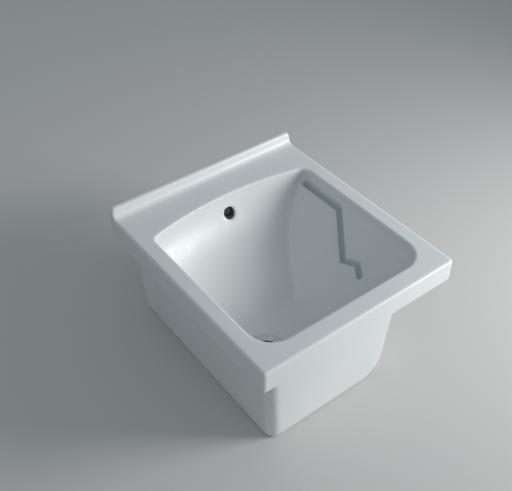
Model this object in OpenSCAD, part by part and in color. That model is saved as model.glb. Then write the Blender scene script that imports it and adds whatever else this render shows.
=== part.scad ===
// Ceramic laundry sink: a one piece glazed body with a washing slope, and its fitted waste and plug.
// Millimetres. Origin on the ground under the middle of the rim, front towards -Y, up is +Z.
// Inside the ceramic modules y is counted back from the front of the rim and z down from the deck.

/* [Part to draw] */
// which sub-part is drawn

/* [Rim] */
// width of the rim from left to right
rim_w = 450; // [430:1:480]
// depth of the rim from front to back
rim_d = 500; // [495:1:530]
// height of the deck above the foot
deck_h = 208; // [206:1:216]
// height of the band around the rim
rim_t = 50; // [48:1:54]
// rounding of the rim's upper outer edge
rim_edge_r = 3.5; // [2.5:0.5:6]
// upright corner rounding, front left
corner_fl = 3; // [2:0.5:12]
// upright corner rounding, front right
corner_fr = 7; // [2:0.5:12]
// upright corner rounding, both rear corners
corner_rear = 4; // [3:0.5:8]

/* [Backsplash] */
// height of the upstand over the deck
splash_h = 24.3; // [18:0.1:30]
// thickness of the upstand
splash_t = 14.3; // [12:0.1:18]
// hollow rounding at the foot of the upstand
splash_cove = 12; // [6:0.5:14]
// rounding of the upstand's top edges
splash_edge = 4.5; // [2:0.5:6]
// rounding of the upstand's two ends
splash_end_r = 9; // [6:0.5:12]

/* [Basin] */
// width of the side rims
side_rim = 35; // [33:0.5:40]
// width of the front rim
front_rim = 40; // [38:0.5:46]
// depth of the deck behind the basin, at the middle, with the upstand
rear_deck = 84; // [80:0.5:90]
// radius of the basin's rear edge seen from above
rear_arc_r = 732; // [650:1:900]
// front corner rounding of the opening
front_corner = 50; // [40:1:60]
// rear left corner rounding of the opening
rear_left_corner = 18; // [12:1:25]
// rear right corner rounding of the opening
rear_right_corner = 25; // [18:1:30]
// depth of the basin floor below the deck
floor_depth = 168; // [166:1:170]
// rounding where the side walls meet the floor
floor_r = 30; // [20:1:36]
// floor left between the waste's seat and the foot of the swept back wall, at the middle
toe_gap = 13.4; // [12:0.2:16]
// height above the floor at which the back wall starts to turn into it
turn_rise = 8; // [7:0.5:10]
// thickness of the basin shell
shell = 14; // [12:0.5:15]

/* [Washing slope] */
// where the slope leaves the floor, from the middle
foot_x = 36; // [32:1:40]
// depth of the slope's top edge at the right wall
slope_top = 20; // [18:0.5:26]
// rounding at the foot of the slope
foot_r = 45; // [30:1:60]
// rounding where the slope meets the right wall
slope_top_r = 22; // [14:1:24]
// width of the drain groove
groove_w = 10; // [8:0.5:12]
// depth of the drain groove below the slope
groove_depth = 14; // [12:0.5:18]
// middle of the groove's upper length, in from the right wall
groove_in = 7; // [6:0.5:9]
// start of the groove, forward of the basin's rear edge
groove_start = 37; // [36:1:46]
// bend of the groove, forward of the basin's rear edge
groove_bend = 146; // [140:1:152]
// lower end of the groove's slanting length, back from the front wall
jog_back = 149; // [144:1:156]
// lower end of the groove's slanting length, in from the upper length
jog_in = 57; // [50:1:60]
// depth of the soap rest below the slope
rest_depth = 4.5; // [2:0.5:6]
// front edge of the soap rest, back from the front wall
rest_front = 24; // [20:1:30]
// depth at which the slope's front face starts to lean back
gusset_depth = 75; // [70:1:80]
// lean of the slope's front face
gusset_lean = 30.7; // [28:0.1:32]

/* [Skirt] */
// left side of the skirt at its top, from the middle
skirt_left = 213; // [210:1:218]
// right side of the skirt at its top, from the middle
skirt_right = 74; // [70:1:78]
// inward lean of the left side down to the foot
skirt_lean = 10; // [6:0.5:11]
// distance of the skirt's rear face from the front of the rim
skirt_rear = 444; // [442:1:450]
// inward lean of the front and rear faces down to the foot
skirt_draft = 4; // [3:0.5:5]
// upright corner rounding of the skirt
skirt_corner = 21; // [16:1:24]
// rounding of the skirt's lower edge
skirt_edge = 5; // [4:0.5:7]
// large rounding of the lower right side
skirt_turn = 50; // [40:1:60]
// thickness of the skirt's left and rear walls
skirt_wall = 18; // [16:0.5:20]
// rounding from the skirt's right side to the rim
under_cove = 14; // [8:0.5:16]

/* [Overflow] */
// bore of the overflow hole in the back wall
overflow_bore = 24; // [20:0.5:26]
// depth of the overflow's middle below the deck
overflow_depth = 42; // [38:0.5:46]
// width of the cast passage
duct_w = 26; // [25:0.5:28]
// depth of the upright passage from front to back
duct_d = 12; // [10:0.5:14]
// height of the passage under the floor
duct_h = 8; // [6:0.5:9]
// ceramic left around the passage
duct_wall = 6; // [5:0.5:7]

/* [Waste] */
// middle of the waste, to the left of the middle
drain_x = -102; // [-104:1:-98]
// middle of the waste, back from the front of the rim
drain_y = 147; // [142:1:149]
// diameter of the flange
flange_d = 86; // [80:1:88]
// thickness of the flange
flange_t = 3; // [2.5:0.1:3.5]
// widest part of the dished mouth
mouth_d = 58; // [54:1:60]
// depth of the dished mouth
mouth_depth = 3.5; // [3:0.1:4]
// inside diameter of the waste below the mouth
throat_d = 42; // [40:0.5:43]
// outside diameter of the slotted shank
shank_d = 49.2; // [48.8:0.1:50]
// outside diameter of the tail, a G 1 1/2 thread
tail_d = 47.8; // [47.8:0.1:47.8]
// height of the tail below the lock nut
tail_len = 7; // [6:0.5:7]
// width of each overflow slot in the shank
slot_w = 11; // [8:0.5:12]
// thickness of the rubber under the flange
flange_seal_t = 1.5; // [1:0.1:2]
// thickness of the rubber under the boss
under_seal_t = 2; // [1.5:0.1:2.5]
// thickness of the slip washer
slip_t = 1; // [0.8:0.1:1.2]
// thickness of the lock nut
nut_t = 6; // [5:0.5:6.5]
// distance across the flats of the lock nut
nut_af = 60; // [56:1:64]
// bore in the ceramic
drain_bore = 52; // [51:0.5:54]
// thickness of the ceramic boss below the floor
boss_depth = 20; // [19:0.5:20]
// diameter of the ceramic boss
boss_d = 100; // [94:1:104]

/* [Strainer] */
// thickness of the strainer plate
plate_t = 1.5; // [1:0.1:2]
// depth of the ledge that carries the plate, below the floor
ledge_depth = 19; // [18.5:0.5:19]
// diameter of the holes in the plate
hole_d = 5.6; // [4:0.2:6]
// diameter of the fixing screw
screw_d = 5; // [5:1:5]
// diameter of the fixing screw's head
screw_head_d = 9.4; // [8.5:0.1:10]
// height of the fixing screw's head
screw_head_h = 2.6; // [2:0.1:2.8]

/* [Plug] */
// diameter of the plug's lip
lip_d = 56.4; // [52:0.2:57]
// height of the lip above the floor
lip_h = 2.5; // [2:0.1:3.5]
// depth of the nose below the floor
nose_depth = 6; // [5:0.1:6.5]
// diameter of the eyebolt's shank
eye_shank_d = 5; // [5:1:5]
// diameter of the eyebolt's collar
collar_d = 13; // [10:0.5:15]
// thickness of the eyebolt's collar
collar_t = 1.2; // [1:0.1:1.5]
// inside diameter of the eye
eye_hole = 5.2; // [4.8:0.1:6]
// thickness of the eye's wire
eye_wire = 3; // [2.5:0.1:3.2]
// middle radius of the pull ring
ring_r = 12; // [11:0.5:12]
// thickness of the pull ring's wire
ring_wire = 2.5; // [2:0.1:2.6]
// thickness of the washer under the plug
plug_washer_t = 1; // [0.8:0.1:1.2]
// thickness of the nut under the plug
plug_nut_t = 4; // [3:0.1:4]

/* [Clearances] */
// between pieces that move against each other
run_gap = 0.3; // [0.2:0.05:0.4]
// around a shank in its hole
hole_gap = 0.3; // [0.2:0.05:0.4]
// between the flange and the wall of its seat
seat_gap = 2; // [1:0.1:2]

/* [Hidden] */
$fn = 72;

half_w = rim_w / 2;
basin_half = half_w - side_rim;
basin_back = rim_d - rear_deck;
arc_y = basin_back - rear_arc_r;
reach = 700;
over = 5;
bite = 0.05;
joint_swell = 0.4;
arc_room = 0.5;
skirt_front = 0.3;
slope_deg = atan((floor_depth - slope_top) / (basin_half - foot_x));

// the back wall is a parabola that ends in an arc, and both reach forward by sweep_run
sweep_top = 4;
sweep_turn = floor_depth - turn_rise;
sweep_run = basin_back - drain_y - flange_d / 2 - seat_gap - toe_gap;
half_turn = (sqrt(4 * pow(sweep_run, 2) + sweep_turn * (sweep_turn + 4 * turn_rise)) - 2 * sweep_run)
            / sweep_turn;
turn_deg = 2 * atan(half_turn);
sweep = 1 / (2 * sweep_turn * tan(turn_deg));
turn_r = turn_rise / (1 - cos(turn_deg));
turn_c = rear_arc_r - sweep_run;

// the groove's corners seen from above, with a short kink and a tail at its lower end
groove_x = basin_half - groove_in;
jog = [groove_x - jog_in, front_rim + jog_back];
kink = jog + [8, -33];
tail = kink + [-11, -20];
groove_route = [[groove_x, basin_back - groove_start], [groove_x, basin_back - groove_bend], jog, kink, tail];

// the overflow's passage, from behind the back wall to the waste
duct_y = basin_back + duct_wall / 3 + duct_d / 2;
duct_turn = atan2(drain_y - duct_y, drain_x);
duct_run = norm([drain_x, drain_y - duct_y]);

// the skirt's lower right side
right_low = skirt_right - 8;
turn_x = right_low - skirt_turn;
turn_z = skirt_turn - deck_h;
foot_rear = skirt_rear - 2 * skirt_draft;

seat_depth = flange_t + flange_seal_t;
mouth_r = mouth_d / 2;
throat_r = throat_d / 2;
shank_r = shank_d / 2;
tail_r = tail_d / 2;
thread_r = tail_r + 0.4;
nut_corner_r = nut_af / 2 / cos(30);
nut_chamfer = 3;
under_d = nut_af + 14;
stack = boss_depth + under_seal_t + slip_t + nut_t;
tail_end = stack + tail_len;
slot_top = boss_depth - duct_wall - 0.5 - duct_h;
slot_low = slot_top + duct_h;
ledge_r = throat_r - 2.5;
bar_top = ledge_depth + 2;
bar_low = stack - 1;
boss_r = 5.5;
inner_row_r = 8.4;
outer_row_r = 16;
screw_len = 8;
screw_slot = 1.2;
washer_d = 14;
plug_nut_af = 8;

// where the plug's cone lies over the mouth's cone
cone_run = (mouth_r - throat_r) / mouth_depth;
cone_lift = run_gap * sqrt(1 + pow(1 / cone_run, 2));
nose_r = throat_r - 0.5;
eye_mid = (eye_hole + eye_wire) / 2 - 0.2;
eye_z = lip_h + collar_t + eye_mid + eye_wire / 2 - 0.4;
ring_tilt = asin((eye_z - ring_wire / 2 - lip_h - run_gap) / (2 * ring_r));
bolt_low = nose_depth + plug_washer_t + plug_nut_t + 1.5;

// height of the washing slope at x, below the deck
function slope_z(x) = -floor_depth + (x - foot_x) * tan(slope_deg);

// a point of the swept back wall: distance from the arc's middle, and depth, grown by g
function sweep_point(d, g) =
    let (lean = 2 * sweep * d, len = sqrt(1 + lean * lean))
    [rear_arc_r - sweep * d * d + g / len, -d - g * lean / len];

function unit(v) = v / norm(v);

// the points of a rounded corner, in n steps
function round_corner(prev, corner, next, r, n) =
    let (u = unit(prev - corner), v = unit(next - corner), half = acos(u * v) / 2,
         mid = corner + unit(u + v) * r / sin(half),
         from = corner + u * r / tan(half) - mid, to = corner + v * r / tan(half) - mid)
    [for (i = [0 : n])
        let (a = (180 - 2 * half) * i / n)
        mid + (from * sin(180 - 2 * half - a) + to * sin(a)) / sin(180 - 2 * half)];

// Flat outlines

// the waste left over between a corner and its rounding
module nib(prev, corner, next, r) {
    u = unit(prev - corner);
    v = unit(next - corner);
    half = acos(u * v) / 2;
    mid = corner + unit(u + v) * r / sin(half);
    out = corner - unit(u + v) * 0.5;
    difference() {
        polygon([out, corner + u * r / tan(half), mid, corner + v * r / tan(half)]);
        translate(mid) circle(r = r, $fn = 96);
    }
}

// a polygon with true arcs in its corners, radius 0 leaves a corner sharp
module soft_polygon(pts, radii) {
    n = len(pts);
    difference() {
        polygon(pts);
        for (i = [0 : n - 1]) {
            if (radii[i] > 0) nib(pts[(i + n - 1) % n], pts[i], pts[(i + 1) % n], radii[i]);
        }
    }
}

// the rim seen from above
module rim_outline() {
    soft_polygon([[-half_w, 0], [half_w, 0], [half_w, rim_d], [-half_w, rim_d]],
                 [corner_fl, corner_fr, corner_rear, corner_rear]);
}

// the waste between the rear arc and one side, side is -1 or 1
module rear_nib(side, r, g) {
    big = rear_arc_r + g + arc_room - r;
    cx = basin_half + g - r;
    cy = arc_y + sqrt(big * big - cx * cx);
    dir = unit([cx, cy - arc_y]);
    mirror([side < 0 ? 1 : 0, 0]) difference() {
        polygon([[cx, cy], [cx + r + 2, cy], [cx + r + 2, cy + r + 12], [cx, cy] + dir * (r + 2)]);
        translate([cx, cy]) circle(r = r, $fn = 96);
    }
}

// the basin opening seen from above, grown by g
module basin_outline(g) {
    b = basin_half + g;
    difference() {
        intersection() {
            soft_polygon([[-b, front_rim - g], [b, front_rim - g], [b, rim_d], [-b, rim_d]],
                         [front_corner + g, front_corner + g, 0, 0]);
            translate([0, arc_y]) circle(r = rear_arc_r + g + arc_room, $fn = 360);
        }
        rear_nib(-1, rear_left_corner + g, g);
        rear_nib(1, rear_right_corner + g, g);
    }
}

// floor, left wall and washing slope seen from the front, grown by g
module basin_front_view(g) {
    b = basin_half + g + bite;
    fx = foot_x + g * tan(slope_deg / 2);
    top_z = -floor_depth - g + (b - fx) * tan(slope_deg);
    top = over + 1;
    left = [-b, -floor_depth - g];
    foot = round_corner(left, [fx, -floor_depth - g], [b, top_z], foot_r + g, 8);
    brow = round_corner([fx, -floor_depth - g], [b, top_z], [b, top], slope_top_r + g, 10);
    difference() {
        polygon(concat([left], foot, brow, [[b, top], [-b, top]]));
        nib([-b, top], left, foot[0], floor_r + g);
    }
}

// front wall and floor seen from the right, grown by g
module basin_side_view(g) {
    low = -floor_depth - g - bite;
    near = front_rim - g - bite;
    top = over + 2;
    soft_polygon([[near, low], [rim_d - 1, low], [rim_d - 1, top], [near, top]], [floor_r + g, 0, 0, 0]);
}

// the swept back wall, cut through its axis, grown by g
module sweep_view(g) {
    wall = [for (i = [0 : 18]) sweep_point(sweep_top + (sweep_turn - sweep_top) * i / 18, g)];
    turn = [for (a = [turn_deg * 0.85 : -turn_deg * 0.17 : 0.01])
            [turn_c + (turn_r + g) * sin(a), turn_r - floor_depth - (turn_r + g) * cos(a) - bite]];
    polygon(concat([[0, over + 3], [wall[0][0], over + 3]], wall, turn,
                   [[turn_c, -floor_depth - g - bite], [0, -floor_depth - g - bite]]));
}

// an outline drawn in x and z, carried from y0 back to y1
module along_y(y0, y1) {
    translate([0, y1, 0]) rotate([90, 0, 0]) linear_extrude(height = y1 - y0) children();
}

// an outline drawn in y and z, carried from x0 to x1
module along_x(x0, x1) {
    translate([x0, 0, 0]) rotate([90, 0, 90]) linear_extrude(height = x1 - x0) children();
}

// Ceramic forms

// the front of the slope is drawn back lower down, so that its shell clears the view of the rim
module slope_gusset(g) {
    intersection() {
        translate([foot_x - 10, front_rim + 1, -gusset_depth]) rotate([gusset_lean, 0, 0])
            translate([0, -reach - g, -reach]) cube([reach, reach, 2 * reach]);
        translate([foot_x - 20 + g * 1.4, front_rim - 1, -reach]) rotate([0, 0, -45])
            cube([reach, reach, 2 * reach]);
    }
}

// the inside of the basin, grown by g all round
module basin_form(g) {
    difference() {
        intersection() {
            along_y(0, rim_d) basin_front_view(g);
            along_x(-rim_w, rim_w) basin_side_view(g);
            translate([0, arc_y, 0]) rotate_extrude($fn = 360) sweep_view(g);
            translate([0, 0, -reach / 2]) linear_extrude(height = reach / 2 + over) basin_outline(g);
        }
        slope_gusset(g);
    }
}

// everything above the washing slope lowered by drop
module over_slope(drop) {
    far = [foot_x - 40, slope_z(foot_x - 40) - drop];
    near = [basin_half, slope_z(basin_half) - drop];
    top = [basin_half, over];
    along_y(0, rim_d) polygon(concat([far], round_corner(far, near, top, slope_top_r, 10),
                                     [top, [far[0], over]]));
}

// one straight length of the groove seen from above
module groove_leg(a, b, w) {
    translate(a) rotate(atan2(b[1] - a[1], b[0] - a[0]))
        translate([0, -w / 2]) square([norm(b - a), w]);
    translate(b) circle(d = w + joint_swell, $fn = 48);
}

// the drain groove's whole way seen from above
module groove_way(w) {
    translate(groove_route[0]) circle(d = w + joint_swell, $fn = 48);
    for (i = [1 : len(groove_route) - 1]) {
        groove_leg(groove_route[i - 1], groove_route[i], w);
    }
}

module groove_cut() {
    intersection() {
        translate([0, 0, -reach / 2]) linear_extrude(height = reach) groove_way(groove_w);
        over_slope(groove_depth);
        translate([0, 0, -floor_depth]) cube([half_w, rim_d, floor_depth - slope_top / 2]);
    }
}

// the thicker ceramic under the groove
module groove_rib() {
    intersection() {
        translate([0, 0, -reach / 2]) linear_extrude(height = reach) groove_way(groove_w + 2 * duct_wall);
        over_slope(groove_depth + shell / 2);
        translate([0, 0, -floor_depth]) cube([half_w, rim_d, floor_depth - rim_t / 2]);
        basin_form(shell + groove_depth);
    }
}

// the soap rest fills the corner between the groove, the right wall and the front
module soap_rest_cut() {
    bend = groove_route[1] + [1, 2];
    front = front_rim + rest_front;
    intersection() {
        translate([0, 0, -reach / 2]) linear_extrude(height = reach)
            polygon([[basin_half + 1, bend[1]], bend, jog, kink, tail, tail + [4, -13],
                     [basin_half - 10, front], [basin_half + 1, front]]);
        over_slope(rest_depth);
        basin_outline_block();
    }
}

module basin_outline_block() {
    translate([0, 0, -floor_depth]) linear_extrude(height = floor_depth + over) basin_outline(0);
}

// rounds one straight upper edge of the rim that runs along x
module edge_strip(len) {
    r = rim_edge_r;
    difference() {
        translate([-1, -1, -r]) cube([len + 2, r + 1, r + 1]);
        translate([-2, r, -r]) rotate([0, 90, 0]) cylinder(r = r, h = len + 4);
    }
}

module rim_slab() {
    difference() {
        translate([0, 0, -rim_t]) linear_extrude(height = rim_t) rim_outline();
        translate([-half_w, 0, 0]) edge_strip(rim_w);
        translate([half_w, 0, 0]) rotate([0, 0, 90]) edge_strip(rim_d);
        translate([-half_w, rim_d, 0]) rotate([0, 0, -90]) edge_strip(rim_d);
    }
}

module backsplash() {
    face = rim_d - splash_t;
    intersection() {
        along_x(-half_w, half_w) union() {
            soft_polygon([[face, -rim_edge_r], [rim_d, -rim_edge_r], [rim_d, splash_h], [face, splash_h]],
                         [0, 0, splash_edge, splash_edge]);
            difference() {
                translate([face - splash_cove, -1]) square([splash_cove + 1, splash_cove + 1]);
                translate([face - splash_cove, splash_cove]) circle(r = splash_cove);
            }
        }
        translate([0, 0, -rim_t]) linear_extrude(height = rim_t + splash_h) rim_outline();
        along_y(0, rim_d) soft_polygon([[-half_w, -rim_t], [half_w, -rim_t],
                                        [half_w, splash_h], [-half_w, splash_h]],
                                       [0, 0, splash_end_r, splash_end_r]);
    }
}

// the skirt's outside: leaning walls with rounded corners and a rounded foot
module skirt_solid() {
    top = -rim_t + 1;
    low = -deck_h;
    c = skirt_corner;
    e = skirt_edge;
    hull() {
        translate([-skirt_left + c, skirt_front + c, top]) cylinder(r = c, h = 0.5, $fn = 48);
        translate([-skirt_left + c, skirt_rear - c, top]) cylinder(r = c, h = 0.5, $fn = 48);
        translate([skirt_right - e, skirt_front + e, top]) cylinder(r = e, h = 0.5, $fn = 32);
        translate([skirt_right - e, skirt_rear - e, top]) cylinder(r = e, h = 0.5, $fn = 32);
        for (y = [skirt_front + skirt_draft + c, foot_rear - c]) {
            translate([-skirt_left + skirt_lean + c, y, low]) rotate_extrude($fn = 48) foot_round(c, e);
        }
        for (end = [0, 1]) {
            y = end == 0 ? skirt_front + skirt_draft : foot_rear;
            translate([turn_x, y, turn_z]) rotate([end == 0 ? -90 : 90, 0, 0])
                rotate_extrude($fn = 96) foot_round(skirt_turn, e);
        }
    }
}

// quarter section of a disc of radius c whose lower edge is rounded by e
module foot_round(c, e) {
    intersection() {
        union() {
            square([c - e, e]);
            translate([c - e, e]) circle(r = e, $fn = 32);
        }
        square([c, e]);
    }
}

// the room under the basin, open at the foot
module under_room() {
    left = -skirt_left + skirt_lean + skirt_wall;
    toe = turn_x - skirt_wall + 3;
    front = front_rim - shell + 1;
    back = foot_rear - skirt_wall;
    roof = -rim_t - 12;
    brow = floor_r - floor_depth;
    bend_r = skirt_turn - skirt_wall;
    bend = [for (a = [-90 : 15 : 0]) [turn_x + bend_r * cos(a), turn_z + bend_r * sin(a)]];
    difference() {
        intersection() {
            along_y(0, rim_d) polygon(concat([[left, -deck_h - 1], [toe, -deck_h - 1],
                                              [toe, skirt_wall - deck_h]], bend,
                                             [[skirt_right - skirt_wall, roof],
                                              [left - skirt_lean / 2, roof]]));
            translate([0, 0, -deck_h - 1]) linear_extrude(height = deck_h)
                soft_polygon([[left - skirt_lean, front], [skirt_right, front],
                              [skirt_right, back], [left - skirt_lean, back]], [12, 12, 12, 12]);
            along_x(-rim_w, rim_w) polygon([[front - 5, -deck_h - 2], [back + 5, -deck_h - 2],
                                            [back + 5, roof + 2], [front_rim + front_corner, roof + 2],
                                            [front_rim + front_corner, brow], [front - 5, brow]]);
        }
        basin_form(shell);
    }
}

// the rounding from the skirt's right side up to the rim's underside
module skirt_cove() {
    r = under_cove;
    translate([skirt_right, skirt_front + skirt_edge, -rim_t]) difference() {
        translate([-3, 0, -r]) cube([r + 3, skirt_rear - 2 * skirt_edge - 2, r + 1]);
        translate([r, -1, -r]) rotate([-90, 0, 0]) cylinder(r = r, h = skirt_rear);
        translate([-4, -1, -r - 1]) cube([3, skirt_rear, r]);
    }
}

// the overflow's cast passage, grown by g
module duct_form(g) {
    low = -floor_depth - slot_low - g;
    translate([-duct_w / 2 - g, duct_y - duct_d / 2 - g, low])
        cube([duct_w + 2 * g, duct_d + 2 * g, -low - overflow_depth + overflow_bore / 2 + 1 + g]);
    translate([0, duct_y, low]) rotate([0, 0, duct_turn])
        translate([0, -duct_w / 2 - g, 0]) cube([duct_run, duct_w + 2 * g, duct_h + 2 * g]);
}

module overflow_hole() {
    translate([0, basin_back - 60, -overflow_depth]) rotate([-90, 0, 0])
        cylinder(d = overflow_bore, h = 60 + duct_wall / 3 + 1);
}

module at_drain() {
    translate([drain_x, drain_y - rim_d / 2, deck_h - floor_depth]) children();
}

module drain_boss() {
    translate([drain_x, drain_y, -floor_depth - boss_depth]) cylinder(d = boss_d, h = boss_depth, $fn = 96);
}

module drain_cuts() {
    translate([drain_x, drain_y, -floor_depth - boss_depth - 1])
        cylinder(d = drain_bore, h = boss_depth + 2, $fn = 96);
    translate([drain_x, drain_y, -floor_depth - seat_depth])
        cylinder(d = flange_d + 2 * seat_gap, h = seat_depth + 1, $fn = 96);
}

module basin_shell() {
    intersection() {
        basin_form(shell);
        translate([-rim_w, 0, -deck_h]) cube([2 * rim_w, rim_d, deck_h - rim_t / 2]);
    }
}

module ceramic_body() {
    color([0.86, 0.88, 0.87]) translate([0, -rim_d / 2, deck_h]) difference() {
        union() {
            rim_slab();
            backsplash();
            difference() {
                skirt_solid();
                under_room();
            }
            skirt_cove();
            basin_shell();
            groove_rib();
            drain_boss();
            duct_form(duct_wall);
        }
        basin_form(0);
        groove_cut();
        soap_rest_cut();
        overflow_hole();
        duct_form(0);
        drain_cuts();
    }
}

// Waste

// slots that let the overflow water into the shank
module overflow_slots() {
    for (a = [0 : 60 : 300]) {
        rotate([0, 0, a]) translate([ledge_r, -slot_w / 2, -slot_low])
            cube([shank_r, slot_w, duct_h]);
    }
}

// the bars across the throat with the screw's boss
module throat_bars() {
    intersection() {
        union() {
            for (a = [30, 120]) {
                rotate([0, 0, a]) translate([-throat_r, -1.5, -bar_low + 0.5])
                    cube([throat_d, 3, bar_low - bar_top - 1]);
            }
            translate([0, 0, -bar_low]) cylinder(r = boss_r, h = bar_low - bar_top);
        }
        translate([0, 0, -bar_low]) cylinder(r = ledge_r + 1, h = bar_low, $fn = 96);
    }
}

module waste_flange_body() {
    edge = flange_d / 2;
    color([0.75, 0.75, 0.76]) at_drain() difference() {
        union() {
            difference() {
                rotate_extrude($fn = 96)
                    polygon([[0, 0], [edge - 1, 0], [edge, -1], [edge, -flange_t],
                             [shank_r, -flange_t], [shank_r, -boss_depth - 1],
                             [thread_r, -boss_depth - 1], [thread_r, -stack],
                             [tail_r, -stack], [tail_r, -tail_end], [0, -tail_end]]);
                translate([0, 0, -mouth_depth])
                    cylinder(r1 = throat_r, r2 = mouth_r, h = mouth_depth, $fn = 96);
                translate([0, 0, -ledge_depth]) cylinder(r = throat_r, h = ledge_depth + 1, $fn = 96);
                translate([0, 0, -tail_end - 1]) cylinder(r = ledge_r, h = tail_end, $fn = 96);
                overflow_slots();
            }
            throat_bars();
        }
        translate([0, 0, -bar_low - 1]) cylinder(d = screw_d + hole_gap, h = bar_low);
    }
}

module flange_seal() {
    color([0.12, 0.12, 0.13]) at_drain() translate([0, 0, -seat_depth]) difference() {
        cylinder(d = flange_d - 1, h = flange_seal_t, $fn = 96);
        translate([0, 0, -1]) cylinder(r = shank_r + hole_gap, h = flange_seal_t + 2, $fn = 96);
    }
}

module under_seal() {
    color([0.14, 0.14, 0.15]) at_drain() translate([0, 0, -boss_depth - under_seal_t]) difference() {
        cylinder(d = under_d, h = under_seal_t, $fn = 96);
        translate([0, 0, -1]) cylinder(r = shank_r + hole_gap, h = under_seal_t + 2, $fn = 96);
    }
}

module slip_washer() {
    color([0.85, 0.85, 0.8]) at_drain() translate([0, 0, nut_t - stack]) difference() {
        cylinder(d = under_d, h = slip_t, $fn = 96);
        translate([0, 0, -1]) cylinder(r = shank_r + hole_gap, h = slip_t + 2, $fn = 96);
    }
}

module lock_nut() {
    color([0.72, 0.6, 0.32]) at_drain() translate([0, 0, -stack]) difference() {
        intersection() {
            cylinder(r = nut_corner_r, h = nut_t, $fn = 6);
            translate([0, 0, -nut_chamfer]) cylinder(r1 = nut_af / 2 - 1, r2 = nut_corner_r + nut_chamfer,
                                                     h = nut_t + nut_chamfer, $fn = 96);
        }
        translate([0, 0, -1]) cylinder(r = thread_r + hole_gap, h = nut_t + 2, $fn = 96);
    }
}

module strainer_plate() {
    color([0.72, 0.73, 0.74]) at_drain() translate([0, 0, -ledge_depth]) difference() {
        cylinder(r = throat_r - run_gap, h = plate_t, $fn = 96);
        translate([0, 0, -1]) cylinder(d = screw_d + hole_gap, h = plate_t + 2);
        for (a = [0 : 60 : 300]) {
            rotate([0, 0, a]) translate([inner_row_r, 0, -1]) cylinder(d = hole_d, h = plate_t + 2, $fn = 32);
        }
        for (a = [15 : 30 : 345]) {
            rotate([0, 0, a]) translate([outer_row_r, 0, -1]) cylinder(d = hole_d, h = plate_t + 2, $fn = 32);
        }
    }
}

module strainer_screw() {
    head_r = screw_head_d / 2;
    dome = (head_r * head_r + screw_head_h * screw_head_h) / (2 * screw_head_h);
    color([0.7, 0.7, 0.71]) at_drain() translate([0, 0, plate_t - ledge_depth]) difference() {
        union() {
            intersection() {
                translate([0, 0, screw_head_h - dome]) sphere(r = dome, $fn = 96);
                cylinder(r = head_r + 1, h = screw_head_h + 1);
            }
            translate([0, 0, -screw_len]) cylinder(d = screw_d, h = screw_len + 0.5);
        }
        translate([-head_r, -screw_slot / 2, screw_head_h - 1]) cube([2 * head_r, screw_slot, 2]);
    }
}

// Plug

module drain_plug() {
    lip_r = lip_d / 2;
    soft = 1;
    cone_in = cone_lift - (mouth_r - nose_r) / cone_run;
    cone_out = cone_lift - (mouth_r - lip_r) / cone_run;
    color([0.1, 0.1, 0.11]) at_drain() difference() {
        rotate_extrude($fn = 96)
            polygon([[0, -nose_depth], [nose_r - soft, -nose_depth], [nose_r, soft - nose_depth],
                     [nose_r, cone_in], [lip_r, cone_out], [lip_r, lip_h - soft],
                     [lip_r - soft, lip_h], [0, lip_h]]);
        translate([0, 0, -nose_depth - 1]) cylinder(r = eye_shank_d / 2 + hole_gap, h = nose_depth + lip_h + 2);
    }
}

module plug_eyebolt() {
    r = eye_shank_d / 2;
    color([0.74, 0.74, 0.75]) at_drain() difference() {
        union() {
            translate([0, 0, -bolt_low]) cylinder(r = r, h = bolt_low + lip_h + 0.5);
            translate([0, 0, lip_h]) cylinder(d = collar_d, h = collar_t);
            translate([0, 0, eye_z]) rotate([0, 90, 0]) rotate_extrude($fn = 64)
                translate([eye_mid, 0]) circle(d = eye_wire, $fn = 32);
        }
        translate([-r, 0, eye_z]) rotate([0, 90, 0]) cylinder(d = eye_hole, h = 2 * r, $fn = 64);
    }
}

module plug_washer() {
    color([0.78, 0.78, 0.79]) at_drain() translate([0, 0, -nose_depth - plug_washer_t]) difference() {
        cylinder(d = washer_d, h = plug_washer_t);
        translate([0, 0, -1]) cylinder(r = eye_shank_d / 2 + hole_gap, h = plug_washer_t + 2);
    }
}

module plug_nut() {
    color([0.72, 0.6, 0.32]) at_drain() translate([0, 0, -nose_depth - plug_washer_t - plug_nut_t])
        difference() {
            cylinder(r = plug_nut_af / 2 / cos(30), h = plug_nut_t, $fn = 6);
            translate([0, 0, -1]) cylinder(r = eye_shank_d / 2 + hole_gap / 3, h = plug_nut_t + 2);
        }
}

module pull_ring() {
    color([0.76, 0.76, 0.77]) at_drain() translate([0, 0, eye_z]) rotate([ring_tilt, 0, 0])
        translate([0, -ring_r, 0]) rotate_extrude($fn = 96) translate([ring_r, 0]) circle(d = ring_wire, $fn = 32);
}

// Drawing

ceramic_body();
waste_flange_body();
flange_seal();
under_seal();
slip_washer();
lock_nut();
strainer_plate();
strainer_screw();
drain_plug();
plug_eyebolt();
plug_washer();
plug_nut();
pull_ring();
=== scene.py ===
import math

import bmesh
import bpy
from mathutils import Matrix, Vector
from mathutils.bvhtree import BVHTree


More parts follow.
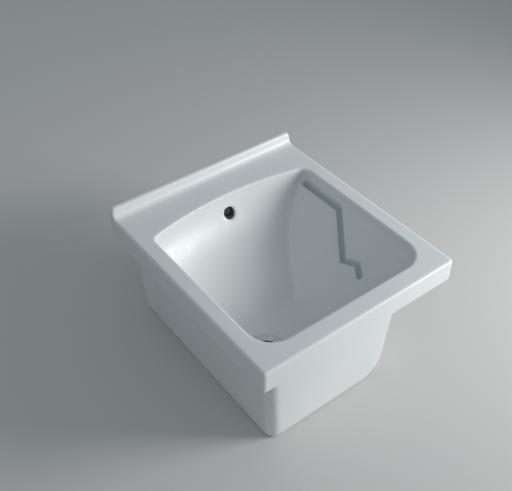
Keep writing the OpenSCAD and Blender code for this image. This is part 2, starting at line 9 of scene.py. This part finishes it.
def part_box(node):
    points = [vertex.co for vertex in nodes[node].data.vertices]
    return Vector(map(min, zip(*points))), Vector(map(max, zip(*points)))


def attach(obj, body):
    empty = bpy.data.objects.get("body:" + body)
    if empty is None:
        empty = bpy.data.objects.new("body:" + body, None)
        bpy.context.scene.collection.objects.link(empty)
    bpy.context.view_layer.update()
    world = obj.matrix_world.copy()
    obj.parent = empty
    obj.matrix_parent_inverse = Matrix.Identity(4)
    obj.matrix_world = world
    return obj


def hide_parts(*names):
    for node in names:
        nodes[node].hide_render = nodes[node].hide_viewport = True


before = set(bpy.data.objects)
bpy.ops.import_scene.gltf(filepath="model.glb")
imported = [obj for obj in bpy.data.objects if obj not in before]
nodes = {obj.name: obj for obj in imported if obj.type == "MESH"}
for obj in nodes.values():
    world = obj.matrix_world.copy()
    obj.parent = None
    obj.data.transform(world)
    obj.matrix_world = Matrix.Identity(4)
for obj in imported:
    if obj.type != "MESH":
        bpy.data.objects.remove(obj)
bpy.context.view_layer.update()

scene = bpy.context.scene

# Camera. It stands at the front left, looking down into the basin, where
# the photograph was taken from.
camera_place = Vector((-0.7083, -0.8532, 1.1836))
camera_yaw = math.radians(37.666)
camera_dip = math.radians(41.967)
camera_roll = math.radians(0.341)
camera_sensor = 36.0
camera_focal_pixels = 767.9
frame_pixels = 512

forward = Vector((math.sin(camera_yaw) * math.cos(camera_dip),
                  math.cos(camera_yaw) * math.cos(camera_dip),
                  -math.sin(camera_dip)))
level_right = Vector((math.cos(camera_yaw), -math.sin(camera_yaw), 0.0))
level_up = level_right.cross(forward)
right = math.cos(camera_roll) * level_right + math.sin(camera_roll) * level_up
up = -math.sin(camera_roll) * level_right + math.cos(camera_roll) * level_up

camera_data = bpy.data.cameras.new("photo_camera")
camera_data.sensor_width = camera_sensor
camera_data.lens = camera_focal_pixels / frame_pixels * camera_sensor
camera = bpy.data.objects.new("photo_camera", camera_data)
scene.collection.objects.link(camera)
camera.matrix_world = Matrix(((right.x, up.x, -forward.x, camera_place.x),
                              (right.y, up.y, -forward.y, camera_place.y),
                              (right.z, up.z, -forward.z, camera_place.z),
                              (0.0, 0.0, 0.0, 1.0)))
scene.camera = camera

# Studio. A pale paper sweep under the sink, one large soft lamp low at the
# front right that shines no wider than a gridded soft box, and an even
# surround.
floor_size = 12.0
paper_colour = (0.62, 0.60, 0.59, 1.0)
paper_roughness = 0.75
paper_shine = 0.2
lamp_place = Vector((1.40, -1.14, 0.74))
lamp_aim = Vector((0.0, 0.0, 0.13))
lamp_width = 0.8
lamp_watts = 10.8
lamp_beam = math.radians(100.0)
surround_colour = (0.83, 0.95, 1.0, 1.0)
surround_strength = 0.38

floor_form = bmesh.new()
bmesh.ops.create_grid(floor_form, x_segments=1, y_segments=1, size=floor_size / 2)
floor_mesh = bpy.data.meshes.new("paper_floor")
floor_form.to_mesh(floor_mesh)
floor_form.free()
floor = bpy.data.objects.new("paper_floor", floor_mesh)
scene.collection.objects.link(floor)
paper = bpy.data.materials.new("pale_paper")
paper.use_nodes = True
paper_shader = paper.node_tree.nodes["Principled BSDF"]
paper_shader.inputs["Base Color"].default_value = paper_colour
paper_shader.inputs["Roughness"].default_value = paper_roughness
paper_shader.inputs["Specular IOR Level"].default_value = paper_shine
floor_mesh.materials.append(paper)

lamp_data = bpy.data.lights.new("soft_lamp", "AREA")
lamp_data.size = lamp_width
lamp_data.energy = lamp_watts
lamp_data.spread = lamp_beam
lamp = bpy.data.objects.new("soft_lamp", lamp_data)
scene.collection.objects.link(lamp)
lamp.location = lamp_place
lamp.rotation_euler = (lamp_place - lamp_aim).to_track_quat("Z", "Y").to_euler()

surround = bpy.data.worlds.new("surround")
surround.use_nodes = True
surround_light = surround.node_tree.nodes["Background"]
surround_light.inputs["Color"].default_value = surround_colour
surround_light.inputs["Strength"].default_value = surround_strength
scene.world = surround
scene.view_settings.view_transform = "Standard"

# Glazed body. One slip-cast piece of white ceramic, dipped in a glossy
# glaze that rounds every edge. The drain groove is painted a darker grey as
# painted shade, the inside of the overflow's passage is painted near black
# as painted shade, and the wiped foot stays bare.
glaze_white = (0.740, 0.755, 0.760, 1.0)
glaze_cool = (0.710, 0.730, 0.738, 1.0)
glaze_refraction = 1.52
glaze_roughness = (0.32, 0.40)
cloud_scale = 7.0
gloss_scale = 24.0
wave_scale, wave_height = 38.0, 0.0002
orange_peel_scale, orange_peel_height = 260.0, 0.00003
speck_scale = 420.0
speck_colour = (0.42, 0.38, 0.33, 1.0)
speck_strength = 0.2
# Painted shade: the darker grey painted into the drain groove.
painted_groove_shade = (0.54, 0.58, 0.60, 1.0)
bare_clay = (0.62, 0.585, 0.53, 1.0)
bare_roughness = 0.85
# Painted shade: the near black painted inside the overflow's passage.
painted_passage_shade = (0.10, 0.095, 0.09, 1.0)

casting_grain = 0.0022
casting_triangles = 185000
glaze_passes = 14
flat_area = 0.004
flat_reach = 0.0004
flat_bend = math.radians(0.3)
weld_gap = 0.00001

slope_side = 0.10
slope_start = 0.036
slope_low = 0.040
slope_rise = 0.961
groove_way = ((0.183, 0.129), (0.183, 0.020), (0.126, -0.061), (0.134, -0.094), (0.123, -0.114))
groove_lip = 0.001
groove_fill = 0.012
groove_underside = 0.0165
groove_reach = 0.008
groove_fade = 0.002

wiped_height = 0.0016
wiped_edge = 0.6 * wiped_height
overflow_z = 0.166
overflow_wall = 0.1545
overflow_lean = 0.571
overflow_lip = 0.002
overflow_radius = 0.0135
passage_back = 0.183


def wire(tree, source, out_name, target, in_name):
    tree.links.new(source.outputs[out_name], target.inputs[in_name])


def object_noise(tree, scale, detail):
    place = tree.nodes.new("ShaderNodeTexCoord")
    noise = tree.nodes.new("ShaderNodeTexNoise")
    noise.inputs["Scale"].default_value = scale
    noise.inputs["Detail"].default_value = detail
    wire(tree, place, "Object", noise, "Vector")
    return noise


def spread(tree, source, out_name, low, high, to_low, to_high):
    ranged = tree.nodes.new("ShaderNodeMapRange")
    ranged.inputs["From Min"].default_value = low
    ranged.inputs["From Max"].default_value = high
    ranged.inputs["To Min"].default_value = to_low
    ranged.inputs["To Max"].default_value = to_high
    wire(tree, source, out_name, ranged, "Value")
    return ranged


def two_colours(tree, factor, first, second):
    mix = tree.nodes.new("ShaderNodeMix")
    mix.data_type = "RGBA"
    wire(tree, factor, "Result", mix, "Factor")
    for socket, colour in ((mix.inputs[6], first), (mix.inputs[7], second)):
        if isinstance(colour, tuple):
            socket.default_value = colour
        else:
            tree.links.new(colour.outputs[2], socket)
    return mix


def worked(tree, operation, first, second=0.0):
    step = tree.nodes.new("ShaderNodeMath")
    step.operation = operation
    for socket, value in zip(step.inputs, (first, second)):
        if isinstance(value, float):
            socket.default_value = value
        else:
            tree.links.new(value, socket)
    return step.outputs["Value"]


def bumps(tree, layers, shader):
    last = None
    for source, out_name, height in layers:
        bump = tree.nodes.new("ShaderNodeBump")
        bump.inputs["Strength"].default_value = 1.0
        bump.inputs["Distance"].default_value = height
        wire(tree, source, out_name, bump, "Height")
        if last is not None:
            wire(tree, last, "Normal", bump, "Normal")
        last = bump
    wire(tree, last, "Normal", shader, "Normal")


def merged_form(node):
    form = bmesh.new()
    form.from_mesh(nodes[node].data)
    bmesh.ops.remove_doubles(form, verts=form.verts, dist=weld_gap)
    return form


def finished_piece(form, name):
    mesh = bpy.data.meshes.new(name)
    form.to_mesh(mesh)
    form.free()
    piece = bpy.data.objects.new(name, mesh)
    scene.collection.objects.link(piece)
    return piece


def merged_copy(node, name):
    return finished_piece(merged_form(node), name)


def bake_modifiers(piece):
    ready = piece.evaluated_get(bpy.context.evaluated_depsgraph_get())
    baked = bpy.data.meshes.new_from_object(ready)
    baked.name = piece.name
    piece.modifiers.clear()
    piece.data = baked
    piece.data.shade_smooth()


def limited(value):
    return max(0.0, min(1.0, value))


def distance_to_groove(spot):
    lengths = []
    for ends in zip(groove_way, groove_way[1:]):
        start, end = Vector(ends[0]), Vector(ends[1])
        along = limited((spot - start).dot(end - start) / (end - start).length_squared)
        lengths.append((spot - start.lerp(end, along)).length)
    return min(lengths)


glazed_body = merged_copy("ceramic_body", "glazed_body")
regrain = glazed_body.modifiers.new("casting_grain", "REMESH")
regrain.mode = "VOXEL"
regrain.voxel_size = casting_grain
rounding = glazed_body.modifiers.new("glaze_rounding", "SMOOTH")
rounding.factor = 0.5
rounding.iterations = glaze_passes
bake_modifiers(glazed_body)
thinning = glazed_body.modifiers.new("casting_thinning", "DECIMATE")
thinning.ratio = min(1.0, casting_triangles / sum(len(f.vertices) - 2 for f in glazed_body.data.polygons))
bake_modifiers(glazed_body)

cad_form = merged_form("ceramic_body")
bmesh.ops.dissolve_limit(cad_form, angle_limit=flat_bend, verts=cad_form.verts, edges=cad_form.edges)
cad_form.faces.ensure_lookup_table()
cad_tree = BVHTree.FromBMesh(cad_form)
for vertex in glazed_body.data.vertices:
    place, _, face, distance = cad_tree.find_nearest(vertex.co)
    if cad_form.faces[face].calc_area() > flat_area and distance < flat_reach:
        vertex.co = vertex.co.lerp(place, limited(2.0 - 2.0 * distance / flat_reach))
cad_form.free()

# Painted shade in the drain groove: a mask that darkens with depth below the washing slope, close to the groove's
# path.
groove_shade = glazed_body.data.attributes.new("groove_shade", "FLOAT", "POINT")
for index, vertex in enumerate(glazed_body.data.vertices):
    x, y, z = vertex.co
    drop = slope_low + (x - slope_start) * slope_rise - z
    if x > slope_side and groove_lip < drop < groove_underside:
        depth_share = limited((drop - groove_lip) / (groove_fill - groove_lip))
        side_share = limited((groove_reach - distance_to_groove(Vector((x, y)))) / groove_fade)
        groove_shade.data[index].value = depth_share * side_share

glaze = bpy.data.materials.new("white_glaze")
glaze.use_nodes = True
glaze_tree = glaze.node_tree
glaze_shader = glaze_tree.nodes["Principled BSDF"]
glaze_shader.inputs["IOR"].default_value = glaze_refraction
glaze_cloud = spread(glaze_tree, object_noise(glaze_tree, cloud_scale, 3.0), "Fac", 0.35, 0.65, 0.0, 1.0)
glaze_tone = two_colours(glaze_tree, glaze_cloud, glaze_white, glaze_cool)
specks = spread(glaze_tree, object_noise(glaze_tree, speck_scale, 1.0), "Fac", 0.82, 0.85, 0.0, speck_strength)
specked = two_colours(glaze_tree, specks, glaze_tone, speck_colour)
groove_shade_read = glaze_tree.nodes.new("ShaderNodeAttribute")
groove_shade_read.attribute_name = "groove_shade"
groove_shade_mask = spread(glaze_tree, groove_shade_read, "Fac", 0.0, 1.0, 0.0, 1.0)
groove_shaded = two_colours(glaze_tree, groove_shade_mask, specked, painted_groove_shade)

body_place = glaze_tree.nodes.new("ShaderNodeTexCoord")
body_split = glaze_tree.nodes.new("ShaderNodeSeparateXYZ")
wire(glaze_tree, body_place, "Object", body_split, "Vector")
body_x, body_y, body_z = (body_split.outputs[axis] for axis in "XYZ")
foot_mask = spread(glaze_tree, body_split, "Z", wiped_edge, wiped_height, 1.0, 0.0)
footed = two_colours(glaze_tree, foot_mask, groove_shaded, bare_clay)

# Painted shade: the inside of the overflow's passage, behind its lip, is painted near black.
hole_rise = worked(glaze_tree, "SUBTRACT", body_z, overflow_z)
rise_square = worked(glaze_tree, "POWER", hole_rise, 2.0)
aside_square = worked(glaze_tree, "MULTIPLY", body_x, body_x)
hole_distance = worked(glaze_tree, "SQRT", worked(glaze_tree, "ADD", rise_square, aside_square))
behind_wall = worked(glaze_tree, "SUBTRACT", body_y, overflow_wall)
hole_depth = worked(glaze_tree, "SUBTRACT", behind_wall, worked(glaze_tree, "MULTIPLY", hole_rise, overflow_lean))
within_radius = worked(glaze_tree, "LESS_THAN", hole_distance, overflow_radius)
past_lip = worked(glaze_tree, "GREATER_THAN", hole_depth, overflow_lip)
before_back = worked(glaze_tree, "LESS_THAN", body_y, passage_back)
passage_shade_mask = worked(glaze_tree, "MULTIPLY", worked(glaze_tree, "MULTIPLY", within_radius, past_lip), before_back)
body_colour = glaze_tree.nodes.new("ShaderNodeMix")
body_colour.data_type = "RGBA"
glaze_tree.links.new(passage_shade_mask, body_colour.inputs["Factor"])
glaze_tree.links.new(footed.outputs[2], body_colour.inputs[6])
body_colour.inputs[7].default_value = painted_passage_shade
glaze_tree.links.new(body_colour.outputs[2], glaze_shader.inputs["Base Color"])

gloss = spread(glaze_tree, object_noise(glaze_tree, gloss_scale, 4.0), "Fac", 0.3, 0.7, *glaze_roughness)
foot_gloss = glaze_tree.nodes.new("ShaderNodeMix")
wire(glaze_tree, foot_mask, "Result", foot_gloss, "Factor")
glaze_tree.links.new(gloss.outputs["Result"], foot_gloss.inputs[2])
foot_gloss.inputs[3].default_value = bare_roughness
glaze_tree.links.new(foot_gloss.outputs[0], glaze_shader.inputs["Roughness"])
bumps(glaze_tree, ((object_noise(glaze_tree, wave_scale, 2.0), "Fac", wave_height),
                   (object_noise(glaze_tree, orange_peel_scale, 2.0), "Fac", orange_peel_height)), glaze_shader)
glazed_body.data.materials.clear()
glazed_body.data.materials.append(glaze)
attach(glazed_body, "sink")
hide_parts("ceramic_body")

# Waste. A chromed brass casting: a dished flange on a slotted shank, let
# into the basin floor and drawn down by the nut below. The polish carries
# fine turning marks round the axis of the drain.
drain_low, drain_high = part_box("waste_flange_body")
drain_axis = ((drain_low[0] + drain_high[0]) / 2, (drain_low[1] + drain_high[1]) / 2)
rounded_fold = math.radians(30.0)
sharp_fold = math.radians(35.0)
stain_scale = 90.0
scratch_scale = 700.0
flange_edge = 0.0003
chrome_light = (0.80, 0.81, 0.82, 1.0)
chrome_dark = (0.62, 0.63, 0.65, 1.0)


def soften_edges(piece, width, segments):
    edge = piece.modifiers.new("soft_edge", "BEVEL")
    edge.width = width
    edge.segments = segments
    edge.limit_method = "ANGLE"
    edge.angle_limit = rounded_fold
    edge.harden_normals = False
    bake_modifiers(piece)
    form = bmesh.new()
    form.from_mesh(piece.data)
    for fold in form.edges:
        fold.smooth = not (len(fold.link_faces) == 2 and fold.calc_face_angle(0.0) > sharp_fold)
    form.to_mesh(piece.data)
    form.free()


def turned_metal(name, light, dark, roughness, mark_scale, mark_height):
    metal = bpy.data.materials.new(name)
    metal.use_nodes = True
    tree = metal.node_tree
    shader = tree.nodes["Principled BSDF"]
    shader.inputs["Metallic"].default_value = 1.0
    place = tree.nodes.new("ShaderNodeTexCoord")
    centre = tree.nodes.new("ShaderNodeMapping")
    centre.inputs["Location"].default_value = (-drain_axis[0], -drain_axis[1], 0.0)
    wire(tree, place, "Object", centre, "Vector")
    rings = tree.nodes.new("ShaderNodeTexWave")
    rings.wave_type = "RINGS"
    rings.rings_direction = "Z"
    rings.inputs["Scale"].default_value = mark_scale
    rings.inputs["Distortion"].default_value = 1.5
    rings.inputs["Detail"].default_value = 2.0
    rings.inputs["Detail Scale"].default_value = 3.0
    wire(tree, centre, "Vector", rings, "Vector")
    stain = object_noise(tree, stain_scale, 4.0)
    tone = two_colours(tree, spread(tree, stain, "Fac", 0.35, 0.7, 0.0, 1.0), light, dark)
    tree.links.new(tone.outputs[2], shader.inputs["Base Color"])
    gloss_range = spread(tree, stain, "Fac", 0.3, 0.7, *roughness)
    wire(tree, gloss_range, "Result", shader, "Roughness")
    bumps(tree, ((rings, "Fac", mark_height),
                 (object_noise(tree, scratch_scale, 2.0), "Fac", mark_height * 0.5)), shader)
    return metal


def fit_piece(piece, body, node, finish):
    piece.data.materials.clear()
    piece.data.materials.append(finish)
    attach(piece, body)
    if node:
        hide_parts(node)


chrome = turned_metal("polished_chrome", chrome_light, chrome_dark, roughness=(0.08, 0.18),
                      mark_scale=900.0, mark_height=0.000006)
flange = merged_copy("waste_flange_body", "chromed_flange")
soften_edges(flange, flange_edge, 2)
fit_piece(flange, "sink", "waste_flange_body", chrome)

# Tail thread. A helical ridge cut on the last turns of the tail, where the
# union nut of the trap is screwed on.
thread_pitch = 0.0023
thread_radius = 0.0239
thread_turns = 2.5
thread_steps = 48
thread_low = drain_low[2] + 0.0006
thread_teeth = ((-0.0004, 0.0), (0.0003, 0.0005), (0.0003, 0.0007), (-0.0004, 0.0012))
thread_form = bmesh.new()
thread_profile = [thread_form.verts.new((drain_axis[0] + thread_radius + out, drain_axis[1], thread_low + rise))
                  for out, rise in thread_teeth]
thread_face = thread_form.faces.new(thread_profile)
bmesh.ops.spin(thread_form, geom=[thread_face] + list(thread_face.edges) + thread_profile,
               cent=(drain_axis[0], drain_axis[1], thread_low), axis=(0.0, 0.0, 1.0),
               dvec=(0.0, 0.0, thread_pitch / thread_steps), angle=2 * math.pi * thread_turns,
               steps=int(thread_steps * thread_turns), use_merge=False, use_duplicate=False)
bmesh.ops.recalc_face_normals(thread_form, faces=thread_form.faces)
tail_thread = finished_piece(thread_form, "tail_thread")
tail_thread.data.shade_smooth()
fit_piece(tail_thread, "sink", None, chrome)

# Seals. Two black rubber rings: one bedded under the flange, one pressed
# against the ceramic boss from below.
seal_light = (0.055, 0.055, 0.058, 1.0)
seal_dark = (0.03, 0.03, 0.032, 1.0)
seal_edge = 0.0004
dust_scale = 160.0
rubber_grain_scale, rubber_grain_height = 520.0, 0.00004


def soft_rubber(name, light, dark, roughness):
    rubber = bpy.data.materials.new(name)
    rubber.use_nodes = True
    tree = rubber.node_tree
    shader = tree.nodes["Principled BSDF"]
    dust = object_noise(tree, dust_scale, 5.0)
    tone = two_colours(tree, spread(tree, dust, "Fac", 0.35, 0.75, 0.0, 1.0), dark, light)
    tree.links.new(tone.outputs[2], shader.inputs["Base Color"])
    wire(tree, spread(tree, dust, "Fac", 0.3, 0.7, *roughness), "Result", shader, "Roughness")
    bumps(tree, ((object_noise(tree, rubber_grain_scale, 3.0), "Fac", rubber_grain_height),), shader)
    return rubber


seal_rubber = soft_rubber("seal_rubber", seal_light, seal_dark, roughness=(0.55, 0.75))
for node, name in (("flange_seal", "flange_seal_ring"), ("under_seal", "boss_seal_ring")):
    seal = merged_copy(node, name)
    soften_edges(seal, seal_edge, 3)
    fit_piece(seal, "sink", node, seal_rubber)

# Slip washer. A thin ring of milky plastic that lets the nut turn without
# dragging the seal round.
milky_light = (0.72, 0.71, 0.66, 1.0)
milky_dark = (0.64, 0.63, 0.58, 1.0)
milky_roughness = (0.4, 0.55)
milky_glow = 0.15
milky_depth = 0.002
flow_scale = 60.0
mould_grain_scale, mould_grain_height = 400.0, 0.00002
slip_edge = 0.0002
washer_plastic = bpy.data.materials.new("milky_plastic")
washer_plastic.use_nodes = True
plastic_tree = washer_plastic.node_tree
plastic_shader = plastic_tree.nodes["Principled BSDF"]
plastic_shader.inputs["Subsurface Weight"].default_value = milky_glow
plastic_shader.inputs["Subsurface Scale"].default_value = milky_depth
plastic_flow = object_noise(plastic_tree, flow_scale, 3.0)
plastic_tone = two_colours(plastic_tree, spread(plastic_tree, plastic_flow, "Fac", 0.3, 0.7, 0.0, 1.0),
                           milky_light, milky_dark)
plastic_tree.links.new(plastic_tone.outputs[2], plastic_shader.inputs["Base Color"])
plastic_gloss = spread(plastic_tree, plastic_flow, "Fac", 0.3, 0.7, *milky_roughness)
wire(plastic_tree, plastic_gloss, "Result", plastic_shader, "Roughness")
bumps(plastic_tree, ((object_noise(plastic_tree, mould_grain_scale, 2.0), "Fac", mould_grain_height),),
      plastic_shader)
slip_ring = merged_copy("slip_washer", "slip_ring")
soften_edges(slip_ring, slip_edge, 2)
fit_piece(slip_ring, "sink", "slip_washer", washer_plastic)

# Lock nut. A six-sided brass nut, machined and left bare, that clamps the
# waste to the ceramic.
brass_light = (0.70, 0.56, 0.27, 1.0)
brass_dark = (0.52, 0.39, 0.17, 1.0)
nut_edge = 0.0004
brass = turned_metal("machined_brass", brass_light, brass_dark, roughness=(0.22, 0.38),
                     mark_scale=700.0, mark_height=0.00001)
clamp_nut = merged_copy("lock_nut", "clamp_nut")
soften_edges(clamp_nut, nut_edge, 2)
fit_piece(clamp_nut, "sink", "lock_nut", brass)

# Strainer. A punched steel plate on the ledge in the throat, held by one
# slotted screw in the middle.
steel_light = (0.66, 0.67, 0.68, 1.0)
steel_dark = (0.50, 0.51, 0.53, 1.0)
steel = turned_metal("brushed_steel", steel_light, steel_dark, roughness=(0.20, 0.34),
                     mark_scale=1100.0, mark_height=0.00001)
for node, name, edge in (("strainer_plate", "punched_plate", 0.0002), ("strainer_screw", "plate_screw", 0.00015)):
    strainer_piece = merged_copy(node, name)
    soften_edges(strainer_piece, edge, 2)
    fit_piece(strainer_piece, "sink", node, steel)

# Plug. Moulded black rubber with a soft lip, two raised rings on top and a
# nose that centres it in the throat. It is lifted out by its ring.
plug_low, plug_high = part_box("drain_plug")
plug_lip = (plug_high[0] - plug_low[0]) / 2
plug_top = plug_high[2]
plug_base = plug_low[2]
plug_nose = 0.0205
plug_shoulder = plug_base + 0.0026
plug_under_lip = plug_base + 0.0060
plug_bore = 0.0028
plug_edge = 0.0012
plug_recess = plug_top - 0.0007
plug_rounding = 0.00035
plug_light = (0.045, 0.045, 0.047, 1.0)
plug_dark = (0.022, 0.022, 0.024, 1.0)
plug_outline = ((plug_bore, plug_base), (plug_nose - plug_edge, plug_base), (plug_nose, plug_base + plug_edge),
                (plug_nose, plug_shoulder), (plug_lip, plug_under_lip), (plug_lip, plug_top - plug_edge),
                (plug_lip - plug_edge, plug_top), (0.0245, plug_top), (0.0240, plug_recess),
                (0.0200, plug_recess), (0.0195, plug_top), (0.0165, plug_top),
                (0.0160, plug_recess), (0.0095, plug_recess), (0.0085, plug_top), (plug_bore, plug_top))
plug_form = bmesh.new()
plug_verts = [plug_form.verts.new((drain_axis[0] + r, drain_axis[1], z)) for r, z in plug_outline]
for first, second in zip(plug_verts, plug_verts[1:] + plug_verts[:1]):
    plug_form.edges.new((first, second))
bmesh.ops.bevel(plug_form, geom=plug_verts, offset=plug_rounding, segments=3, profile=0.5, affect="VERTICES",
                material=-1)
bmesh.ops.spin(plug_form, geom=list(plug_form.verts) + list(plug_form.edges),
               cent=(drain_axis[0], drain_axis[1], 0.0), axis=(0.0, 0.0, 1.0), dvec=(0.0, 0.0, 0.0),
               angle=2 * math.pi, steps=96, use_merge=True, use_duplicate=False)
bmesh.ops.remove_doubles(plug_form, verts=plug_form.verts, dist=0.000001)
bmesh.ops.recalc_face_normals(plug_form, faces=plug_form.faces)
rubber_plug = finished_piece(plug_form, "rubber_plug")
rubber_plug.data.shade_smooth()
plug_rubber = soft_rubber("plug_rubber", plug_light, plug_dark, roughness=(0.45, 0.62))
fit_piece(rubber_plug, "plug", "drain_plug", plug_rubber)

# Plug fittings. A chromed eyebolt through the rubber, with a washer and a
# brass nut below, and a chromed wire ring that hangs in the eye.
for node, name, slot_name, metal, edge in (
        ("plug_eyebolt", "chromed_eyebolt", "flange_metal", chrome, 0.0002),
        ("plug_washer", "steel_washer", "steel", steel, 0.00015),
        ("plug_nut", "brass_nut", "brass", brass, 0.0002)):
    fitting = merged_copy(node, name)
    soften_edges(fitting, edge, 2)
    fit_piece(fitting, "plug", node, metal)
wire_ring = merged_copy("pull_ring", "wire_ring")
wire_ring.data.shade_smooth()
fit_piece(wire_ring, "ring", "pull_ring", chrome)
